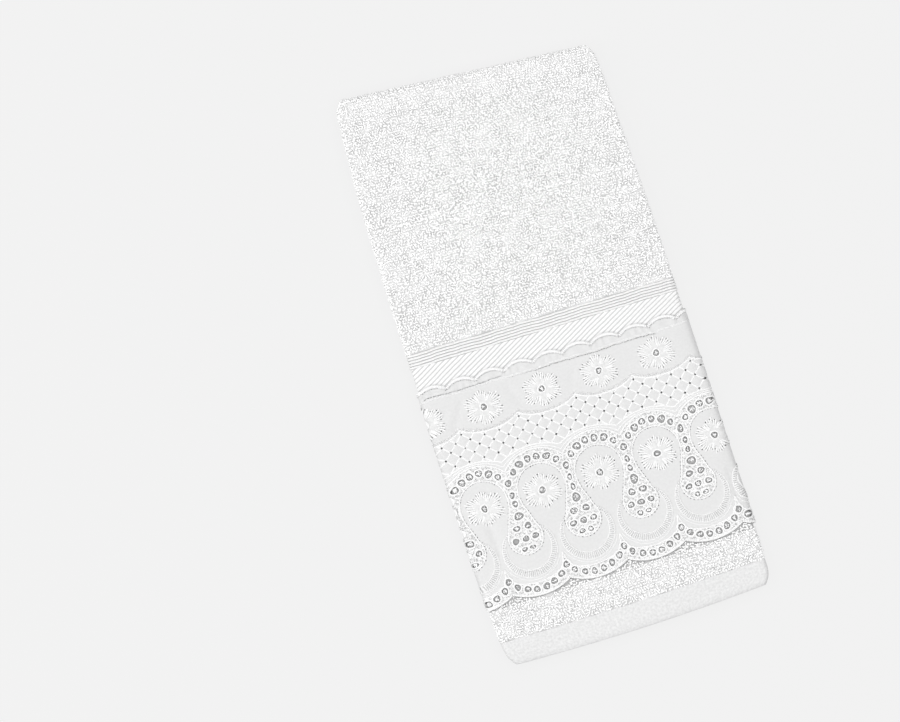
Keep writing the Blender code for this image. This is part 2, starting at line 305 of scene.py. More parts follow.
def fold_map(flat):
    """Carries points (s, t, lift) of the flat cloth to the folded towel.

    The sections across and along it place them. Then the sides are drawn in, the top fold is slanted, the
    hem bows and droops, and the face gets its swells and creases."""
    s, t, lift = flat[..., 0], flat[..., 1], flat[..., 2]
    x, depth = side_section(s, lift)
    path_y, path_z, turn = fold_path(t)
    y = path_y + depth * np.sin(turn)
    z = path_z + depth * np.cos(turn)

    knots, left, right = np.array(OUTLINE).T * MM
    half = FOLDED_WIDTH / 2
    drawn_in = np.where(x < 0, smooth_curve(knots, left, path_y), smooth_curve(knots, right, path_y))
    drawn_in = drawn_in + BACK_DRAWN_IN * (1 - np.cos(turn)) / 2
    x = x * (1 - drawn_in / half)

    share = np.clip((x / SLANT_HALF + 1) / 2, 0, 1)
    rise = np.maximum((y - SLANT_START) / (FOLDED_LENGTH - SLANT_START), 0)
    bow = HEM_BOW * (x / half) ** 2 * np.clip(1 - y / HEM_BOW_REACH, 0, 1) ** 2
    droop = DROOP * np.clip(1 - y / DROOP_REACH, 0, 1) ** 2
    height = np.clip((z - REST_Z) / (FRONT_Z - REST_Z), 0, 1)
    z = z + height * (swell(x, y) - droop - crease_depth(x, y))
    y = y - SLANT_DROP * share * rise + bow - FOLDED_LENGTH / 2
    return np.stack([x, y, z], axis=-1)


# ---------------------------------------------------------------- meshes


def add_object(name, data):
    """Puts a mesh, a light or a camera into the scene."""
    added = bpy.data.objects.new(name, data)
    bpy.context.scene.collection.objects.link(added)
    return added


def new_piece(name, flat, face_sets, material, slot, sharp=None):
    """A piece from points of the flat cloth and arrays of faces, each array with one number of corners.

    Its UV map is the flat cloth in metres, so that a pattern follows the cloth round its folds."""
    flat = flat.reshape(-1, 3)
    corners = np.concatenate([faces.ravel() for faces in face_sets])
    totals = np.concatenate([np.full(len(faces), faces.shape[1]) for faces in face_sets])
    mesh = bpy.data.meshes.new(name)
    mesh.vertices.add(len(flat))
    mesh.vertices.foreach_set("co", fold_map(flat).astype(np.float32).ravel())
    mesh.loops.add(len(corners))
    mesh.loops.foreach_set("vertex_index", corners.astype(np.int32))
    mesh.polygons.add(len(totals))
    mesh.polygons.foreach_set("loop_start", (np.cumsum(totals) - totals).astype(np.int32))
    mesh.update(calc_edges=True)
    mesh.validate()
    mesh.polygons.foreach_set("use_smooth", np.ones(len(mesh.polygons), dtype=bool))
    layer = mesh.uv_layers.new(name="cloth")
    layer.data.foreach_set("uv", flat[corners, :2].astype(np.float32).ravel())
    if sharp is not None:
        mesh.set_sharp_from_angle(angle=math.radians(sharp))
    mesh.materials.append(material)
    piece = add_object(name, mesh)
    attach(piece, "root")
    return piece


def grid_faces(rows, columns, count=1, wrap_rows=False, wrap_columns=False):
    """The quads of count grids of rows x columns points. A wrapped way joins its last line to its first."""
    i = np.arange(rows if wrap_rows else rows - 1)[:, None]
    j = np.arange(columns if wrap_columns else columns - 1)[None, :]
    below, above = i * columns, (i + 1) % rows * columns
    right = (j + 1) % columns
    one = np.stack([below + j, below + right, above + right, above + j], axis=-1).reshape(-1, 4)
    return (np.arange(count)[:, None, None] * rows * columns + one).reshape(-1, 4)


def pairs(across, up):
    """Flat places, one a row, from how far across and how far up they are."""
    return np.column_stack([across, up])


def grid_places(columns, rows):
    """Flat places where columns and rows cross."""
    return np.stack(np.meshgrid(columns, rows), axis=-1).reshape(-1, 2)


def rays(angle):
    """Flat vectors of length one at angles from the s axis."""
    return pairs(np.cos(angle), np.sin(angle))


def ring_angles(count):
    """Angles evenly round a circle."""
    return np.arange(count) * 2 * math.pi / count


def unit(vectors):
    """The vectors at length one."""
    return vectors / np.maximum(np.linalg.norm(vectors, axis=-1, keepdims=True), 1e-12)


def to_left(vectors):
    """The vectors of the cloth that lie a quarter turn to the left of flat ones."""
    return np.stack([-vectors[..., 1], vectors[..., 0], np.zeros(vectors.shape[:-1])], axis=-1)


# Where the corners of a ring stand on its ellipse: round on top for yarn, and flat for pressed stitches.
YARN_RING = np.radians([0, 90, 180, 270])
STITCH_RING = np.radians([0, 60, 120, 180, 270])


def tubes(paths, beside, half_width, half_height, turns=STITCH_RING):
    """Tubes along many paths (count, rings, 3). beside points across each path, in the cloth.

    A ring is an ellipse: half_width along beside, and half_height along the normal of path and beside."""
    along = unit(np.gradient(paths, axis=1))
    beside = unit(beside + np.zeros_like(paths))
    normal = unit(np.cross(along, beside))
    wide = (half_width + np.zeros(paths.shape[:2]))[..., None, None] * np.cos(turns)[:, None]
    high = (half_height + np.zeros(paths.shape[:2]))[..., None, None] * np.sin(turns)[:, None]
    return paths[:, :, None] + wide * beside[:, :, None] + high * normal[:, :, None]


def tube_faces(count, rings, sides=5):
    """The faces of tubes with closed ends."""
    walls = grid_faces(rings, sides, count, wrap_columns=True)
    first = np.arange(count)[:, None] * rings * sides
    start = first + np.arange(sides)[::-1]
    end = first + (rings - 1) * sides + np.arange(sides)
    return walls, start, end


def joined(parts):
    """Joins parts, each of points and its arrays of faces, into one set of points and arrays."""
    points, face_sets, first = [], [], 0
    for flat, faces in parts:
        flat = flat.reshape(-1, 3)
        points.append(flat)
        face_sets += [each + first for each in faces]
        first += len(flat)
    return np.concatenate(points), face_sets


def rim_edges(faces):
    """The edges that only one face has, as that face runs along them."""
    ends = np.stack([faces, np.roll(faces, -1, axis=1)], axis=-1).reshape(-1, 2)
    _, first, uses = np.unique(np.sort(ends, axis=1), axis=0, return_index=True, return_counts=True)
    return ends[first[uses == 1]]


def thick(flat, faces, top, bottom):
    """A closed sheet from a flat mesh: a top, a bottom turned over, and a wall along its rim."""
    count = len(flat)
    start, end = rim_edges(faces).T
    wall = np.stack([end, start, start + count, end + count], axis=-1)
    upper = np.column_stack([flat, top + np.zeros(count)])
    lower = np.column_stack([flat, bottom + np.zeros(count)])
    return np.concatenate([upper, lower]), [faces, faces[:, ::-1] + count, wall]


# ---------------------------------------------------------------- materials


def linear(colour):
    """An sRGB hex colour as linear light, with alpha 1."""
    parts = [int(colour[i : i + 2], 16) / 255 for i in (1, 3, 5)]
    return [p / 12.92 if p <= 0.04045 else ((p + 0.055) / 1.055) ** 2.4 for p in parts] + [1.0]


def add_node(tree, kind, inputs=None, **settings):
    """Adds a node with its settings. Each of its inputs named gets a value, or a link from an output."""
    node = tree.nodes.new("ShaderNode" + kind)
    for name, value in settings.items():
        setattr(node, name, value)
    for name, value in (inputs or {}).items():
        if isinstance(value, bpy.types.NodeSocket):
            tree.links.new(value, node.inputs[name])
        else:
            node.inputs[name].default_value = value
    return node


def cotton(name, light, dark, grain, relief, ramp=(0.2, 0.8), roughness=0.9, sheen=0.15, lines=None):
    """A cotton finish: a matt face with sheen, light where its grain is high and dark where it is low.

    grain is the size of the grain, which is drawn about twice as coarse as the real thread so that it
    shows, and relief its height. The ramp is where in the noise dark ends and light begins: a narrow one,
    set low, leaves small dark specks. lines is the colour of the painted shade in the furrows between
    woven ridges, where the UV map "weave" counts the ridges (u) and says how deeply they are shaded (v)."""
    material = bpy.data.materials.new(name)
    material.use_nodes = True
    tree = material.node_tree
    tree.nodes.clear()
    place = add_node(tree, "UVMap", uv_map="cloth")
    grains = {"Vector": place.outputs[0], "Scale": 0.5 / grain, "Detail": 2.0, "Roughness": 0.6}
    fine = add_node(tree, "TexNoise", grains)
    steps = {"Value": fine.outputs[0], "From Min": ramp[0], "From Max": ramp[1]}
    share = add_node(tree, "MapRange", steps, interpolation_type="SMOOTHSTEP")
    blend = {0: share.outputs[0], 6: linear(dark), 7: linear(light)}
    tint = add_node(tree, "Mix", blend, data_type="RGBA")
    # Painted shade: the furrows between ridges are mixed toward the lines colour, as far as v of "weave"
    # says.
    if lines:
        weave = add_node(tree, "UVMap", uv_map="weave")
        parts = add_node(tree, "SeparateXYZ", {0: weave.outputs[0]})
        turn = add_node(tree, "Math", {0: parts.outputs[0], 1: 2 * math.pi}, operation="MULTIPLY")
        ridge = add_node(tree, "Math", {0: turn.outputs[0]}, operation="COSINE")
        steps = {"Value": ridge.outputs[0], "From Min": -0.2, "From Max": -0.95}
        furrow = add_node(tree, "MapRange", steps, interpolation_type="SMOOTHSTEP")
        deep = add_node(tree, "Math", {0: furrow.outputs[0], 1: parts.outputs[1]}, operation="MULTIPLY")
        blend = {0: deep.outputs[0], 6: tint.outputs[2], 7: linear(lines)}
        tint = add_node(tree, "Mix", blend, data_type="RGBA")
    bump = add_node(tree, "Bump", {"Strength": 1.0, "Distance": relief, "Height": share.outputs[0]})
    finish = {
        "Base Color": tint.outputs[2],
        "Normal": bump.outputs[0],
        "Roughness": roughness,
        "Metallic": 0.0,
        "IOR": 1.5,
        "Specular IOR Level": 0.2,
        "Sheen Weight": sheen,
        "Sheen Roughness": 0.5,
    }
    shader = add_node(tree, "BsdfPrincipled", finish)
    add_node(tree, "OutputMaterial", {"Surface": shader.outputs[0]})
    return material


# Looped cotton pile: soft and matt, with hardly any colour.
pile_cotton = cotton("cotton terry pile, looped", "#FDFDFD", "#F4F4F4", 0.6 * MM, 0.05 * MM, sheen=0.25)
# Flat woven cotton of the hems: a little greyer.
woven_cotton = cotton("cotton cloth, flat woven", "#E3E3E3", "#D0D0D0", 0.8 * MM, 0.06 * MM)
# The same cloth in twill and ribs: its ridges are whiter, with thin grey painted shade in the furrows between
# them. The ground between the loops and under the lace gets this painted shade all over.
cotton_with_painted_furrow_shade = cotton(
    "cotton cloth, ridged weave", "#F1F1F1", "#E5E5E5", 0.8 * MM, 0.05 * MM, lines="#ACACAC"
)
# Thin cotton voile: smooth, flat and greyer, because less light comes back from it.
voile_cotton = cotton("cotton voile, plain woven", "#DADADA", "#D4D4D4", 0.8 * MM, 0.01 * MM)
# Embroidery cotton in dense filling stitches: white, with small grey specks of painted shade, as in the
# needle holes and between the stitches.
fill_cotton = cotton(
    "cotton embroidery, filling stitches", "#EEEEEE", "#ACACAC", 0.75 * MM, 0.15 * MM, (0.38, 0.56), 0.7, 0.1
)
# The same stitches laid side by side in a broad satin band: smooth, and a little greyer.
satin_cotton = cotton(
    "cotton embroidery, satin band", "#F0F0F0", "#D6D6D6", 0.6 * MM, 0.06 * MM, roughness=0.7
)
# The same stitches packed so close in the flowers' middles that hardly one of them shows. Its grey is painted
# shade, in place of the shading that their relief would give.
petal_cotton = cotton(
    "cotton embroidery, close satin", "#E2E2E2", "#D2D2D2", 1.1 * MM, 0.04 * MM, roughness=0.7
)
# Mercerised embroidery cotton: the brightest white, with a slight gloss along its threads.
thread_cotton = cotton(
    "cotton embroidery thread, satin stitched",
    "#F4F4F4",
    "#E7E7E7",
    0.5 * MM,
    0.03 * MM,
    roughness=0.6,
    sheen=0.1,
)


# ---------------------------------------------------------------- the towel's cloth


def wander(s, size):
    """A small uneven drift along the cloth: a sum of three waves of 43, 19 and 8 mm."""
    return sum(size / n * wave(s / length, n) for n, length in ((1, 43 * MM), (2, 19 * MM), (3, 8 * MM)))


def ridge_counts(s, t):
    """How many ribs and how many ridges of the twill lie below each place.

    The ribs run along the cloth, and drift a little. The twill's ridges climb to the right."""
    drift = wander(s, 0.22 * MM)
    slope = math.radians(29)
    ribs = (t + drift - RIBS_START) / RIB_PITCH - 0.5
    twill = (t * math.cos(slope) - s * math.sin(slope) + 0.4 * drift) / (2.3 * MM)
    return ribs, twill


def face_lift(s, t):
    """The face of the cloth over its middle: the table of bands, with ribs and twill on it.

    A ridge is one wave of a cosine of the count of ridges. The back's panel, which nobody sees, is flat."""
    ribs, twill = [np.cos(2 * math.pi * count) for count in ridge_counts(s, t)]
    in_ribs = np.clip(np.minimum(t - RIBS_START, RIBS_END - t) / (0.3 * MM), 0, 1)
    in_twill = np.clip(np.minimum(t - TWILL_START, RIBS_START - t) / (0.6 * MM), 0, 1)
    lift = np.interp(t, BANDS[:, 0], BANDS[:, 1])
    lift = lift + in_ribs * 0.7 * MM * (0.5 + 0.5 * ribs) ** 0.8 + in_twill * 0.15 * MM * twill
    flat_back = np.clip((t - BACK_START + 6 * MM) / (6 * MM), 0, 1)
    flat_back = flat_back * np.clip(1 - (np.abs(s) - PANEL_HALF) / (1.5 * MM), 0, 1)
    return lift + (TERRY_HALF - lift) * flat_back


def spaced(*stops):
    """Lines from stop to stop, each stop a place and the spacing of the lines up to it."""
    lines = [np.array([stops[0][0]])]
    for (start, _), (end, step) in zip(stops, stops[1:]):
        count = max(1, round((end - start) / step))
        lines.append(np.linspace(start, end, count + 1)[1:])
    return np.concatenate(lines)


def pile_shade(s, t):
    """The painted shade on the pile's ground: a mean, and two crossed waves that make uneven patches."""
    first = wave(s / (23 * MM) + t / (41 * MM), 2 * wave(t / (33 * MM)))
    second = wave(t / (14 * MM) - s / (31 * MM), 2 * wave(s / (27 * MM)))
    return (0.5 + 0.3 * first * second) * np.interp(t, [STRAIGHT - 12 * MM, STRAIGHT], [1, 0.5])


def map_weave(mesh):
    """Gives the cloth its UV map "weave", and the lined finish, with its painted shade, to its twill, ribs
    and ground.

    The ground between the loops and under the lace is all painted shade, since little light reaches it."""
    place = np.zeros(2 * len(mesh.loops), dtype=np.float32)
    mesh.uv_layers["cloth"].data.foreach_get("uv", place)
    s, t = place.reshape(-1, 4, 2).astype(float).transpose(2, 0, 1)
    middle = t.mean(axis=1)
    # From the hem, 1 is the strip of pile, 2 the ground under the lace, and 5 the pile's large field.
    edges = (HEM_END, PRESSED_START, TWILL_START, RIBS_START, RIBS_END, REAR_HEM)
    band = np.searchsorted(edges, middle)
    in_twill, in_ribs = band == 3, band == 4
    painted_shade_under_pile = (band == 1) | (band == 5)
    painted_shade_under_lace = (band == 2) & (middle < TWILL_START - 1 * MM)
    ribs, twill = ridge_counts(s, t)
    count = np.where(in_ribs[:, None], ribs, np.where(in_twill[:, None], twill, 0.5))
    # Painted shade per face: most in the ribs' furrows, less in the twill's, and on the ground under lace and
    # pile.
    deep = (in_ribs + 0.7 * in_twill + 0.85 * painted_shade_under_lace)[:, None] + pile_shade(s, t) * painted_shade_under_pile[:, None]
    weave = mesh.uv_layers.new(name="weave")
    weave.data.foreach_set("uv", np.stack([count, deep], axis=-1).astype(np.float32).ravel())
    mesh.materials.append(cotton_with_painted_furrow_shade)
    mesh.polygons.foreach_set("material_index", (deep.max(axis=1) > 0).astype(np.int32))


def towel_cloth():
    """The towel as one closed sheet: a grid on the flat cloth, close where the face has relief."""
    side = spaced((PANEL_HALF, 0), (FOLD_END, 0.7 * MM), (FLAT_WIDTH / 2, 12 * MM))
    panel = spaced((-PANEL_HALF, 0), (PANEL_HALF, 1.3 * MM))
    columns = np.concatenate([-side[::-1], panel[1:-1], side])
    rows = spaced(*BANDS[:, [0, 3]])
    flat = grid_places(columns, rows)
    top = face_lift(flat[:, 0], flat[:, 1])
    bottom = -np.interp(flat[:, 1], BANDS[:, 0], BANDS[:, 2])
    points, face_sets = thick(flat, grid_faces(len(rows), len(columns)), top, bottom)
    piece = new_piece("towel_cloth", points, face_sets, woven_cotton, "terry_cotton", sharp=60)
    map_weave(piece.data)
    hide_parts("towel")
    return piece


# ---------------------------------------------------------------- the pile


def scattered(s_start, s_end, t_start, t_end, across=LOOP_PITCH, along=LOOP_PITCH):
    """Places in rows like brickwork, each moved a little at random."""
    rows = np.arange(t_start + along / 2, t_end, along)
    columns = np.arange(s_start + across / 4, s_end, across)
    s, t = np.meshgrid(columns, rows)
    s = s + np.where(np.arange(len(rows)) % 2, across / 2, 0)[:, None]
    s = s + random.normal(0, 0.17 * across, s.shape)
    t = t + random.normal(0, 0.15 * along, t.shape)
    places = pairs(s.ravel(), t.ravel())
    return places[(places[:, 0] > s_start) & (places[:, 0] < s_end)]


def loops(places, ground, reach, yarn):
    """Terry loops: each a yarn along half an ellipse, leaning over to one side.

    A loop's heading is a sum of two slow waves over the cloth, so that neighbours lie much alike, and
    some chance."""
    count = len(places)
    s, t = places.T
    heading = 1.6 * wave(s / (19 * MM) + t / (31 * MM)) + 1.3 * wave(t / (13 * MM) - s / (27 * MM))
    heading = heading + random.normal(0, 0.7, count)
    ahead = np.column_stack([rays(heading), np.zeros(count)])
    aside = to_left(ahead)
    span = random.uniform(0.5, 0.9, count) * MM
    lean = random.uniform(-0.4, 0.4, count) * MM
    top = reach - yarn - random.uniform(0, 0.35, count) * MM
    turn = np.linspace(0, math.pi, 4)
    path = np.zeros((count, len(turn), 3))
    path[:, :, :2] = places[:, None]
    path -= span[:, None, None] * np.cos(turn)[:, None] * ahead[:, None]
    path += lean[:, None, None] * (np.sin(turn) ** 2)[:, None] * aside[:, None]
    path[:, :, 2] += ground + (top - ground)[:, None] * np.sin(turn) / np.sin(turn).max() - 0.1 * MM
    size = yarn * random.uniform(0.78, 1.2, count)[:, None]
    points = tubes(path, aside[:, None], size, size, YARN_RING)
    return points, tube_faces(count, len(turn), 4)


def streaks(s, t):
    """The faint rows of the pile: how much higher it stands, as waves across it, bent by slower ones."""
    first = wave(t / (5.3 * MM), 2.1 * wave(s / (61 * MM), 40 * t))
    second = wave(t / (8.9 * MM), 1.7 * wave(s / (37 * MM), 2))
    return 0.11 * MM * (first + second)


def pile_piece(name, places):
    """A field of terry loops as one mesh."""
    reach = TERRY_HALF + 0.25 * MM + streaks(places[:, 0], places[:, 1])
    points, face_sets = loops(places, GROUND, reach, YARN_HALF)
    return new_piece(name, points, face_sets, pile_cotton, "terry_cotton")


def scallop(s, pitch, centre, height):
    """An arc of a circle over each pitch, highest at its centres and zero at its cusps."""
    half = pitch / 2
    radius = (half**2 + height**2) / (2 * height)
    off = (s - centre + half) % pitch - half
    return np.sqrt(radius**2 - off**2) - (radius - height)


def low_scallop(s):
    """The lace's lower edge."""
    return LACE_LOW + LOW_SCALLOP - scallop(s, REPEAT, DROP_LINE, LOW_SCALLOP)


def top_scallop(s):
    """The lace's upper edge."""
    return LACE_TOP - TOP_SCALLOP + scallop(s, HALF, DROP_LINE + HALF / 2, TOP_SCALLOP)


def make_pile():
    """The pile on the face, on the side folds and over the top fold, as pieces of one mesh each.

    The strip under the lace keeps a gap to the lace's edge, which is wider near the left."""
    middle = (RIBS_END + STRAIGHT) / 2
    across = (-PANEL_HALF, PANEL_HALF)
    fields = [
        pile_piece("pile_field_lower", scattered(*across, RIBS_END + 0.6 * MM, middle)),
        pile_piece("pile_field_upper", scattered(*across, middle, STRAIGHT)),
    ]
    strip = scattered(*across, HEM_END + 0.4 * MM, LACE_LOW + LOW_SCALLOP)
    gap = (1.0 + 0.7 * np.exp(-(((strip[:, 0] + 52 * MM) / (14 * MM)) ** 2))) * MM
    fields.append(pile_piece("pile_strip", strip[strip[:, 1] < low_scallop(strip[:, 0]) - gap]))
    fields.append(pile_piece("pile_top_fold", scattered(*across, STRAIGHT, BACK_START)))
    runs = ((HEM_END, PRESSED_START), (RIBS_END, BACK_START), (BACK_START, REAR_HEM))
    for name, sign in (("pile_left_side", -1), ("pile_right_side", 1)):
        parts = [scattered(PANEL_HALF, FOLD_END - 0.5 * MM, *run, 1.25 * MM) for run in runs]
        places = np.concatenate(parts) * [sign, 1]
        under = (places[:, 1] > BACK_START) & (np.abs(places[:, 0]) < PANEL_HALF + 1.0 * MM)
        fields.append(pile_piece(name, places[~under]))
    return fields


# ---------------------------------------------------------------- the lace's pattern


def from_drop(s):
    """How far across each place is from its nearest drop line."""
    return (s - DROP_LINE + HALF) % REPEAT - HALF


def repeated(places):
    """Places about the drop line of one repeat, at every drop line."""
    return np.concatenate([np.asarray(places) + [line, 0] for line in DROP_LINES])


def moved_a_little(table):
    """The rows (s, t, half width, half height) short of the side folds' ends, each moved at random."""
    table = table[np.abs(table[:, 0]) < FOLD_END]
    table[:, :2] += random.normal(0, UNEVEN, (len(table), 2))
    return table


def eyelet_table():
    """Every eyelet as (s, t, half width, half height), each placed and sized a little unevenly.

    A repeat has those of the tables, with their mirror images, and six along its arch."""
    mirrored = [(-across, *rest) for across, *rest in MIRRORED]
    arch = [
        (HALF + ARCH_EYELETS * math.sin(turn), ARCH_UP + ARCH_EYELETS * math.cos(turn), size, size)
        for number, size in enumerate(ARCH_SIZES)
        for turn in ((number + 0.5) * ARCH_STEP, -(number + 0.5) * ARCH_STEP)
    ]
    one = np.concatenate([np.array(CENTRED + MIRRORED + mirrored) * MM, arch]) / [1, 1, 2, 2]
    table = moved_a_little(np.concatenate([one + [line, 0, 0, 0] for line in DROP_LINES]))
    table[:, 2:] *= random.normal(1.0, 0.05, (len(table), 2))
    return table


def eyelet_rings(table, grow, sides):
    """Points round the eyelets (count, sides, 2), grown outward, with a slightly uneven oval shape."""
    turns = ring_angles(sides)
    phase = np.random.default_rng(3).uniform(0, 2 * math.pi, (len(table), 2, 1))
    uneven = 1 + 0.07 * np.cos(2 * turns + phase[:, 0]) + 0.06 * np.cos(3 * turns + phase[:, 1])
    across = (table[:, 2:3] * uneven + grow) * np.cos(turns)
    up = (table[:, 3:4] * uneven + grow) * np.sin(turns)
    return np.stack([table[:, 0:1] + across, table[:, 1:2] + up], axis=-1)


def drop_half(t):
    """Half the width of the drop and its stem at height t: a smooth table over a round foot."""
    foot = np.sqrt(np.maximum(FOOT_RADIUS**2 - (t - FOOT_UP) ** 2, 0))
    return np.where(t < STEM_UP[0], foot, smooth_curve(STEM_UP, STEM_HALF, t))


def arch_edge(off, radius, centre=ARCH_UP):
    """The height of a circle about a centre on the arch's axis, by distance from the drop line."""
    return centre + np.sqrt(np.maximum(radius**2 - (HALF - np.abs(off)) ** 2, 0))


def spike_edge(off):
    """The upper edge of the stitched ground along the lace's foot: a low arc, and a spike at each cusp."""
    share = np.abs(off / HALF)
    return (47.7 + 5.0 * share**2 + 9.3 * share**12) * MM


def lattice_top(off):
    """The lattice's upper outline: flat on the drop line, with a point between the upper flowers."""
    return 148.2 * MM + 5.2 * MM * np.abs(off / HALF) ** 2.7


def in_lattice(off, up):
    """Whether a place, by its distance from a drop line, is between the lattice's outlines."""
    off = (off + HALF) % REPEAT - HALF
    return (up < lattice_top(off) + 0.3 * MM) & (up > arch_edge(off, ARCH_CORD, ARCH_CORD_UP))


def drop_edge():
    """The right edge of one repeat's drop, stem and arch, from the foot up to the middle of the arch."""
    turn = np.linspace(-math.pi / 2, math.asin((STEM_UP[0] - FOOT_UP) / FOOT_RADIUS), 15)
    up = np.linspace(STEM_UP[0], STEM_UP[-1], 14)[1:-1]
    off = np.linspace(HALF - ARCH_INNER, HALF, 18)
    foot = FOOT_RADIUS * rays(turn) + [0, FOOT_UP]
    return np.concatenate([foot, pairs(drop_half(up), up), pairs(off, arch_edge(off, ARCH_INNER))])


def ground_outlines():
    """The stitched ground of one repeat, about its drop line, as three counterclockwise outlines.

    They are its arch, stem and drop, its foot along the scallops, and a strip under the upper edge."""
    right = drop_edge()
    off = np.linspace(HALF, -HALF, 40)
    arch = [right, pairs(off, arch_edge(off, ARCH_OUTER)), right[::-1][:-1] * [-1, 1]]
    off = np.linspace(-HALF, HALF, 33)
    over = np.linspace(HALF, -HALF, 49)
    foot = [pairs(off, low_scallop(off + DROP_LINE) + 0.3 * MM), pairs(over, spike_edge(over))]
    off = np.linspace(-HALF, HALF, 41)
    edge = top_scallop(off + DROP_LINE)
    strip = [pairs(off, edge - 1.5 * MM), pairs(off, edge - 0.05 * MM)[::-1]]
    return [np.concatenate(parts) for parts in (arch, foot, strip)]


def six_points(angle):
    """One at the six points of a flower and nothing between them."""
    return np.abs(np.cos(3 * (angle - math.pi / 2)))


def petal_reach(angle):
    """How far a flower reaches at an angle: six round petals, those at the sides longest."""
    reach = FLOWER_VALLEY + (FLOWER_TIP - FLOWER_VALLEY) * six_points(angle) ** 0.7
    return reach * (1 + 0.16 * np.cos(angle) ** 2)


def star_reach(angle):
    """How far a flower's dense middle reaches at an angle: six points, the upper and lower ones longest."""
    point = six_points(angle) ** 2.2 * (0.9 + 0.1 * np.abs(np.sin(angle)) ** 3)
    return STAR_VALLEY + (STAR_TIP - STAR_VALLEY) * point


def flower_centres():
    """The flowers: one on each drop line above the lattice, and one half a repeat off under each arch."""
    both = np.concatenate([repeated([(0, UPPER_FLOWER)]), repeated([(HALF, LOWER_FLOWER)])])
    return both[np.abs(both[:, 0]) < FOLD_END + FLOWER_TIP]


def arc_dots(across, up, radius, spacing):
    """Places of needle holes on an arc over a centre, 80 degrees to each side of its top."""
    turn = math.radians(80)
    angle = np.linspace(-turn, turn, int(2 * turn * radius / spacing))
    return pairs(across + radius * np.sin(angle), up + radius * np.cos(angle))


def needle_holes():
    """The pinholes, as a table like the eyelets'.

    They lie at the lattice's crossings, inside the arches, round the drops, between the petals' threads,
    beside the seam and under the upper edge."""
    crossings = [
        (column * LATTICE_STEP, up)
        for row, up in enumerate(LATTICE_ROWS)
        for column in range(-3, 5)
        if (column + row) % 2 and in_lattice(column * LATTICE_STEP, up)
    ]
    arch = arc_dots(HALF, ARCH_UP, ARCH_INNER - 0.5 * MM, 1.7 * MM)
    up = np.linspace(STEM_UP[-1] - 3 * MM, FOOT_UP, 12)
    sides = [pairs(sign * (drop_half(up) + 0.6 * MM), up) for sign in (-1, 1)]
    foot = arc_dots(0, FOOT_UP, FOOT_RADIUS + 0.6 * MM, 2.2 * MM) * [1, -1] + [0, 2 * FOOT_UP]
    gap = (np.arange(PETAL_THREADS) + 0.5) * 2 * math.pi / PETAL_THREADS
    reach = petal_reach(gap) - np.where(np.arange(PETAL_THREADS) % 2, 2.2 * MM, 1.0 * MM)
    petals = (flower_centres()[:, None] + rays(gap) * reach[:, None]).reshape(-1, 2)
    seam = np.arange(-PANEL_HALF, SEAM_END, 0.95 * MM)
    beside = np.interp(seam, [SEAM_TURN - 1 * MM, SEAM_TURN, 0], [1.2 * MM, -0.3 * MM, -1.1 * MM])
    edge = np.arange(-PANEL_HALF, PANEL_HALF, 1.2 * MM)
    sets = [
        (repeated(crossings), 0.66 * MM),
        (repeated(np.concatenate([arch, *sides, foot])), 0.38 * MM),
        (petals, 0.42 * MM),
        (pairs(seam, SEAM_UP + beside + wander(seam, 0.3 * MM)), 0.34 * MM),
        (pairs(edge, top_scallop(edge) - 2.1 * MM), 0.34 * MM),
    ]
    rows = [np.column_stack([places, np.full((len(places), 2), size)]) for places, size in sets]
    table = moved_a_little(np.concatenate(rows))
    table[:, 2:] *= random.uniform(0.75, 1.2, (len(table), 1))
    return table


# ---------------------------------------------------------------- the lace's cloth


def clear_of(points, table, margin):
    """Which points are farther than a margin from every eyelet of the table."""
    away = np.linalg.norm(points[:, None] - table[None, :, :2], axis=2) - table[None, :, 2:].max(axis=2)
    return away.min(axis=1) > margin


def only_used(flat, faces):
    """A mesh less the points that no face uses."""
    used, corners = np.unique(faces, return_inverse=True)
    return flat[used], corners.reshape(-1, 3)


def cut_cloth(outlines, holes, filler):
    """A flat cloth from outlines less holes, cut into triangles, with filler points in its plain parts."""
    points, faces = [], []
    for loop in [*outlines, *holes]:
        faces.append(list(range(len(points), len(points) + len(loop))))
        points += [tuple(point) for point in loop]
    points += [tuple(point) for point in filler]
    flat, _, triangles, _, _, inside = delaunay_2d_cdt(points, [], faces, 1, 1e-7)
    solid = set(range(len(outlines)))
    kept = [tri for tri, within in zip(triangles, inside) if within and set(within) <= solid]
    return only_used(np.array([point[:] for point in flat]), np.array(kept))


def pucker(s, t):
    """How far the voile rises and falls over its seam: uneven waves along it, within a bell across it."""
    bell = np.exp(-(((t - PUCKER_UP) / (2.2 * MM)) ** 2))
    return 0.34 * MM * wave(s / (6.3 * MM), 2.2 * wave(s / (29 * MM))) * bell


def cushion(s, t):
    """How far the voile puffs up in each cell of the lattice: two crossed waves, nothing along the cords."""
    off = from_drop(s)
    row = np.interp(-t, -LATTICE_ROWS, np.arange(len(LATTICE_ROWS)))
    cell = np.cos(math.pi / 2 * (off / LATTICE_STEP + row)) * np.cos(math.pi / 2 * (off / LATTICE_STEP - row))
    below = (lattice_top(off) - t) / MM
    above = (t - arch_edge(off, ARCH_CORD, ARCH_CORD_UP)) / MM
    return 0.5 * MM * np.abs(cell) ** 0.6 * np.clip(np.minimum(below, above), 0, 1)


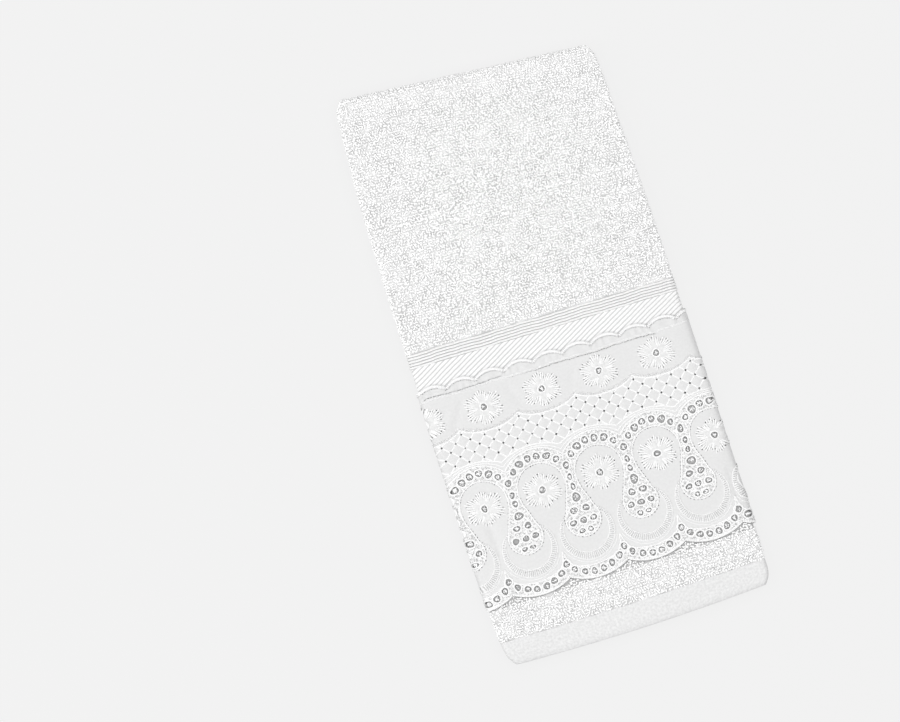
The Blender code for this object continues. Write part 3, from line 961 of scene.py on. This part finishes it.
def lace_cloth(eyelets, pinholes):
    """The voile: scalloped below and above, with every eyelet and pinhole cut through.

    Its mesh is fine where it is creased, puckered or puffed up, and coarser elsewhere."""
    s = np.linspace(-FLAT_WIDTH / 2, FLAT_WIDTH / 2, 301)
    outline = np.concatenate([pairs(s, low_scallop(s)), pairs(s, top_scallop(s))[::-1]])
    side = PANEL_HALF + SIDE_RADIUS * np.linspace(0, math.pi, 9)
    panel = np.arange(-PANEL_HALF + 2 * MM, PANEL_HALF - 2 * MM, 2.6 * MM)
    levels = np.arange(LACE_LOW + LOW_SCALLOP + 1 * MM, LACE_TOP - TOP_SCALLOP - 1 * MM, 2.6 * MM)
    coarse = grid_places(np.concatenate([-side[::-1], panel, side]), levels)
    fine = grid_places(np.arange(-84, 84) * MM, np.arange(46, 184) * MM)
    needed = crease_depth(fine[:, 0], fine[:, 1]) > 0.05 * MM
    needed |= np.abs(fine[:, 1] - PUCKER_UP) < PUCKER_REACH
    needed |= in_lattice(from_drop(fine[:, 0]), fine[:, 1])
    grid = np.concatenate([coarse, fine[needed]])
    filler = grid[clear_of(grid, np.concatenate([eyelets, pinholes]), 0.5 * MM)]
    holes = [*eyelet_rings(eyelets, 0, 18), *eyelet_rings(pinholes, 0, 6)]
    flat, faces = cut_cloth([outline], holes, filler)
    lift = LACE_LIFT + pucker(flat[:, 0], flat[:, 1]) + cushion(flat[:, 0], flat[:, 1])
    points, face_sets = thick(flat, faces, lift + VOILE_HALF, lift - VOILE_HALF)
    piece = new_piece("lace_cloth", points, face_sets, voile_cotton, "eyelet_cotton", sharp=40)
    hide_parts("lace_trim")
    return piece


# ---------------------------------------------------------------- the embroidery


def raised(outlines, eyelets, lumps):
    """Closed raised shapes on the voile, less its eyelets: low at their rims, and lumpy between."""
    grid = scattered(-FOLD_END, FOLD_END, LACE_LOW, LACE_TOP, 1.3 * MM, 1.3 * MM)
    filler = grid[clear_of(grid, eyelets, 0.9 * MM)]
    flat, faces = cut_cloth(outlines, eyelet_rings(eyelets, 0.35 * MM, 18), filler)
    short_of_ends = np.abs(flat[faces][:, :, 0]).max(axis=1) < FOLD_END
    flat, faces = only_used(flat, faces[short_of_ends])
    rim = np.isin(np.arange(len(flat)), rim_edges(faces))
    top = np.where(rim, 0.06 * MM, 0.3 * MM + random.normal(0, lumps, len(flat)))
    return thick(flat, faces, ON_VOILE + top, ON_VOILE - 0.05 * MM)


def stitched_ground(eyelets):
    """The densely stitched parts: arches, stems, drops, foot and upper edge, raised and lumpy."""
    shapes = ground_outlines()
    return raised([shape + [line, 0] for line in DROP_LINES for shape in shapes], eyelets, 0.07 * MM)


def flower_middles(eyelets):
    """The flowers' dense middles, raised and nearly smooth."""
    turn = ring_angles(72)
    petals = star_reach(turn)[:, None] * rays(turn)
    return raised([petals + centre for centre in flower_centres()], eyelets, 0.02 * MM)


def eyelet_rims(eyelets):
    """A satin rim round each eyelet: a ring whose stitches stand up in turn."""
    sides = 40
    paths = np.full((len(eyelets), sides, 3), ON_VOILE + 0.25 * MM)
    paths[:, :, :2] = eyelet_rings(eyelets, 0.5 * MM, sides)
    outward = np.zeros(paths.shape)
    outward[:, :, :2] = unit(paths[:, :, :2] - eyelets[:, None, :2])
    stitch = np.cos(np.arange(sides) * math.pi)
    wide = (0.52 + 0.07 * stitch)[:, None, None] * MM * np.cos(STITCH_RING)[:, None]
    high = (0.30 + 0.06 * stitch)[:, None, None] * MM * np.sin(STITCH_RING)[:, None]
    points = paths[:, :, None] + wide * outward[:, :, None] + high * [0, 0, 1]
    return points, [grid_faces(sides, 5, len(eyelets), wrap_rows=True, wrap_columns=True)[:, ::-1]]


def satin(starts, ends, half_width, height):
    """Satin stitches, each a thread over from its start to its end, flat on the cloth and round on top."""
    u = np.linspace(0, 1, 5)
    paths = np.zeros((len(starts), 5, 3))
    paths[:, :, :2] = starts[:, None] * (1 - u[:, None]) + ends[:, None] * u[:, None]
    arch = np.sqrt(np.sin(math.pi * np.clip(u, 0.06, 0.94)))
    paths[:, :, 2] = ON_VOILE + height * arch * random.uniform(0.85, 1.15, (len(starts), 1))
    taper = np.array([0.8, 1.0, 1.0, 1.0, 0.8])
    points = tubes(paths, to_left(ends - starts)[:, None], half_width * taper, 0.22 * MM * taper)
    return points, tube_faces(len(starts), 5)


def flower_threads():
    """The petals: satin threads from near the middle's edge outward, long and short in turn at the tips.

    A thread is drawn about twice as broad as the real one, so that each shows."""
    parts = []
    count = PETAL_THREADS
    half_width = np.array([0.3, 0.42, 0.46, 0.5, 0.48]) * MM
    for centre in flower_centres():
        angle = (np.arange(count) + random.uniform(-0.15, 0.15, count)) * 2 * math.pi / count
        tooth = 1.0 - 0.05 * (np.arange(count) % 2) + random.normal(0, 0.025, count)
        starts = centre + (star_reach(angle) - 1.6 * MM)[:, None] * rays(angle)
        ends = centre + (petal_reach(angle) * tooth)[:, None] * rays(angle)
        kept = np.abs(ends[:, 0]) < FOLD_END - 0.3 * MM
        parts.append(satin(starts[kept], ends[kept], half_width, 0.42 * MM))
    return parts


def band_width(angle):
    """The width of the satin band at an angle from its lowest point: broad below, narrow at its ends."""
    fade = 0.5 + 0.5 * np.cos(np.clip(angle / BAND_TURN, -1, 1) * math.pi)
    return (1.2 + 3.7 * np.sqrt(fade)) * MM


def band_threads():
    """The satin band under each drop: threads across it, from its inner to its outer edge."""
    parts = []
    count = 58
    angle = np.linspace(-BAND_TURN, BAND_TURN, count)
    down = pairs(np.sin(angle), -np.cos(angle))
    for centre in repeated([(0, BAND_UP)]):
        ends = centre + (BAND_RADIUS + random.normal(0, 0.08 * MM, count))[:, None] * down
        inner = BAND_RADIUS - band_width(angle) + random.normal(0, 0.12 * MM, count)
        starts = centre + inner[:, None] * down
        kept = np.abs(ends[:, 0]) < FOLD_END - 0.3 * MM
        half_width = np.linspace(0.42, 0.52, 5) * random.uniform(0.8, 1.1, (kept.sum(), 1)) * MM
        parts.append(satin(starts[kept], ends[kept], half_width, 0.5 * MM))
    return parts


def edge_threads():
    """The satin edges of the scallops, lower and upper: short threads across them, side by side."""
    parts = []
    s = np.arange(-FOLD_END, FOLD_END, 0.95 * MM)
    step = 0.05 * MM
    for edge, inward, width in ((low_scallop, 1, 1.2 * MM), (top_scallop, -1, 1.6 * MM)):
        slope = (edge(s + step) - edge(s - step)) / (2 * step)
        normal = unit(pairs(-slope, np.ones(len(s)))) * inward
        starts = pairs(s, edge(s)) - 0.15 * MM * normal
        ends = pairs(s, edge(s)) + (width + random.normal(0, 0.1 * MM, len(s)))[:, None] * normal
        parts.append(satin(starts, ends, 0.5 * MM, 0.5 * MM))
    return parts


def cord(path, half_width, height):
    """A whipped cord along a flat path: a flattened tube that swells at every turn of its thread."""
    run = np.append(0, np.cumsum(np.linalg.norm(np.diff(path, axis=0), axis=1)))
    count = max(4, int(run[-1] / (0.45 * MM)))
    at = np.linspace(0, run[-1], count)
    flat = pairs(np.interp(at, run, path[:, 0]), np.interp(at, run, path[:, 1]))
    points = np.column_stack([flat, np.full(count, ON_VOILE + 0.4 * height)])[None]
    beside = to_left(np.gradient(flat, axis=0))[None]
    turns = 1 + 0.12 * np.cos(np.arange(count) * math.pi)
    return tubes(points, beside, half_width * turns, height * 0.6 * turns), tube_faces(1, count)


def lattice_cords():
    """The lattice: cords from crossing to crossing of neighbouring rows, cut off at its outlines."""
    parts = []
    u = np.linspace(0.11, 0.89, 13)
    rows = np.append(LATTICE_ROWS, LATTICE_ROWS[-1] - 4.5 * MM)
    for line in DROP_LINES:
        for row in range(len(rows) - 1):
            up = rows[row] + (rows[row + 1] - rows[row]) * u
            for column in range(-4, 4):
                rising = (column + row) % 2
                path = pairs((column + (u if rising else 1 - u)) * LATTICE_STEP, up)
                path = path[in_lattice(path[:, 0], path[:, 1])] + [line, 0]
                if len(path) > 2 and np.abs(path[:, 0]).max() < FOLD_END:
                    parts.append(cord(path, 0.44 * MM, 0.38 * MM))
    return parts


def inside_runs(path):
    """The parts of a path that lie short of the side folds' ends."""
    kept = np.abs(path[:, 0]) < FOLD_END - 0.5 * MM
    parts = np.split(path, np.flatnonzero(np.diff(kept)) + 1)
    return [part for part in parts if len(part) > 4 and abs(part[0, 0]) < FOLD_END - 0.5 * MM]


def outline_cords():
    """The cords along the lace, and those round each drop and its satin band.

    Three run over the arches, one over the foot and one over the lattice. A band has one on each of its
    edges, and a thin one under it."""
    off = np.linspace(-FOLD_END, FOLD_END, 700)
    from_line = from_drop(off)
    over, outer = arch_edge(from_line, ARCH_CORD, ARCH_CORD_UP), arch_edge(from_line, ARCH_OUTER)
    lines = [
        ((over + outer) / 2, 0.3 * MM, 0.3 * MM),
        (over, 0.42 * MM, 0.4 * MM),
        (outer, 0.48 * MM, 0.5 * MM),
        (spike_edge(from_line), 0.42 * MM, 0.5 * MM),
        (lattice_top(from_line), 0.5 * MM, 0.45 * MM),
    ]
    paths = [(pairs(off, up), *size) for up, *size in lines]
    turn = np.linspace(-0.93, 0.93, 160) * BAND_TURN
    down = pairs(np.sin(turn), -np.cos(turn))
    inner = (BAND_RADIUS - band_width(turn) + 0.1 * MM)[:, None]
    edge = drop_edge()
    edge = np.concatenate([edge[::-1][:-1] * [-1, 1], edge])
    for line in DROP_LINES:
        centre = [line, BAND_UP]
        paths += [
            (centre + (BAND_RADIUS - 0.1 * MM) * down, 0.28 * MM, 0.45 * MM),
            (centre + inner * down, 0.28 * MM, 0.45 * MM),
            (centre + (BAND_RADIUS + 1.6 * MM) * down[np.abs(turn) < 1.2], 0.22 * MM, 0.35 * MM),
            (edge + [line, 0], 0.42 * MM, 0.5 * MM),
        ]
    return [cord(run, *size) for path, *size in paths for run in inside_runs(path)]


def tucks():
    """The two narrow tucks of the voile along its seam."""
    s = np.linspace(-FOLD_END, FOLD_END, 400)
    seam = SEAM_UP + wander(s, 0.3 * MM)
    lower = cord(pairs(s, seam - 0.3 * MM), 0.35 * MM, 0.4 * MM)
    return [lower, cord(pairs(s, seam + 0.4 * MM), 0.3 * MM, 0.25 * MM)]


def seed_stitches(eyelets):
    """Short stitches over the stitched ground and the lattice's upper edge, away from the nearest eyelet."""
    places = scattered(-FOLD_END, FOLD_END, LACE_LOW, lattice_top(HALF) + 2.2 * MM, 1.15 * MM, 1.0 * MM)
    off, up = from_drop(places[:, 0]), places[:, 1]
    arch = (up > arch_edge(off, ARCH_INNER) + 0.5 * MM) & (up < arch_edge(off, ARCH_OUTER) - 0.5 * MM)
    arch &= up > ARCH_UP
    drop = (np.abs(off) < drop_half(up) - 0.5 * MM) & (up <= ARCH_UP) & (up > FOOT_UP - FOOT_RADIUS)
    foot = (up > low_scallop(places[:, 0]) + 1.4 * MM) & (up < spike_edge(off) - 0.4 * MM)
    border = (up > lattice_top(off) + 0.4 * MM) & (up < lattice_top(off) + 2.2 * MM)
    places = places[(arch | drop | foot | border) & clear_of(places, eyelets, 1.1 * MM)]
    away = places[:, None] - eyelets[None, :, :2]
    nearest = np.argmin(np.linalg.norm(away, axis=2), axis=1)
    across, up = away[np.arange(len(places)), nearest].T
    heading = np.arctan2(up, across) + random.normal(0, 0.45, len(places))
    half = random.uniform(0.45, 0.75, len(places))[:, None] * MM * rays(heading)
    return satin(places - half, places + half, 0.24 * MM, 0.45 * MM)


def eyelet_tufts(eyelets):
    """The pile that shows in each eyelet: two high loops by its centre and a ring of five low ones.

    Some are missing by chance. Most of those are under the drop at the left, which looks darker, and
    hardly any under every second arch, which looks paler."""
    ring = rays(ring_angles(5)) * 0.5
    spots = np.concatenate([ring[[0, 2]] * 0.4, ring])
    places = eyelets[:, None, :2] + eyelets[:, None, 2:] * spots
    places = places + random.normal(0, 0.2 * MM, places.shape)
    share = np.where(np.abs(places[..., 0] - DROP_LINES[2]) < 16 * MM, 0.45, 0.8)
    pale = np.cos(math.pi * (places[..., 0] - DROP_LINE - HALF) / REPEAT) > 0
    share = np.where(pale & (places[..., 1] > ARCH_UP), 1.2, share)
    share = share * random.uniform(0.75, 1.25, len(eyelets))[:, None]
    kept = random.uniform(0, 1, share.shape) < share
    high = loops(places[:, :2][kept[:, :2]], 0.2 * MM, 2.4 * MM, 0.55 * MM)
    low = loops(places[:, 2:][kept[:, 2:]], 0.2 * MM, 1.75 * MM, 0.4 * MM)
    return new_piece("pile_in_eyelets", *joined([high, low]), pile_cotton, "terry_cotton")


def make_lace():
    """The lace: its voile, the stitched ground, threads and cords on it, and the pile in its eyelets."""
    eyelets = eyelet_table()
    cloth = lace_cloth(eyelets, needle_holes())
    pieces = []
    for name, parts, finish, sharp in (
        ("stitched_ground", [stitched_ground(eyelets)], fill_cotton, 70),
        ("eyelet_rims", [eyelet_rims(eyelets)], thread_cotton, 75),
        ("flower_middles", [flower_middles(eyelets)], petal_cotton, 75),
        ("flower_threads", flower_threads(), thread_cotton, 75),
        ("band_threads", band_threads(), satin_cotton, 75),
        ("edge_threads", edge_threads(), thread_cotton, 75),
        ("lace_cords", outline_cords() + lattice_cords(), thread_cotton, 75),
        ("lace_tucks", tucks(), satin_cotton, 75),
        ("seed_stitches", [seed_stitches(eyelets)], satin_cotton, 75),
    ):
        pieces.append(new_piece(name, *joined(parts), finish, "eyelet_cotton", sharp))
    return cloth, pieces, eyelet_tufts(eyelets)


towel = towel_cloth()
pile = make_pile()
lace, lace_pieces, tufts = make_lace()


# ---------------------------------------------------------------- the studio

FLOOR_HALF = 4.0
FLOOR_Z = -0.2 * MM
CAMERA_Z = 2.4
CAMERA_OFF = (-62.8 * MM, 9.4 * MM)
CAMERA_TURN = math.radians(17.8)
VIEW_WIDTH = 566 * MM
SENSOR = 36


def studio():
    """A pale floor, an even sky, two soft lights and a camera straight above, turned with the towel.

    The floor glows a little, as paper does that is lit from all sides."""
    scene = bpy.context.scene
    scene.world = bpy.data.worlds.new("studio")
    scene.world.use_nodes = True
    sky = scene.world.node_tree.nodes["Background"].inputs
    sky["Color"].default_value = (1, 1, 1, 1)
    sky["Strength"].default_value = 0.36

    mesh = bpy.data.meshes.new("floor")
    corners = [(x * FLOOR_HALF, y * FLOOR_HALF, FLOOR_Z) for x, y in ((-1, -1), (1, -1), (1, 1), (-1, 1))]
    mesh.from_pydata(corners, [], [(0, 1, 2, 3)])
    floor = add_object("floor", mesh)
    paper = bpy.data.materials.new("paper, matt")
    paper.use_nodes = True
    for name, value in (
        ("Base Color", linear("#454545")),
        ("Roughness", 1.0),
        ("Specular IOR Level", 0.0),
        ("Emission Color", (1, 1, 1, 1)),
        ("Emission Strength", 0.815),
    ):
        paper.node_tree.nodes["Principled BSDF"].inputs[name].default_value = value
    mesh.materials.append(paper)

    for name, place, side, energy in (
        ("overhead", (0, 0, 3.5), 5.0, 148),
        ("window", (-2.2, 0.1, 1.4), 1.5, 17),
    ):
        light = bpy.data.lights.new(name, "AREA")
        light.size = side
        light.energy = energy
        lamp = add_object(name, light)
        lamp.location = place
        lamp.rotation_euler = (-lamp.location).to_track_quat("-Z", "Y").to_euler()

    lens = bpy.data.cameras.new("camera")
    lens.sensor_width = SENSOR
    lens.lens = SENSOR * (CAMERA_Z - FRONT_Z) / VIEW_WIDTH
    lens.clip_end = 20
    scene.camera = add_object("camera", lens)
    scene.camera.location = (*CAMERA_OFF, CAMERA_Z)
    scene.camera.rotation_euler = (0, 0, -CAMERA_TURN)
    scene.view_settings.view_transform = "Standard"
    return floor


floor = studio()
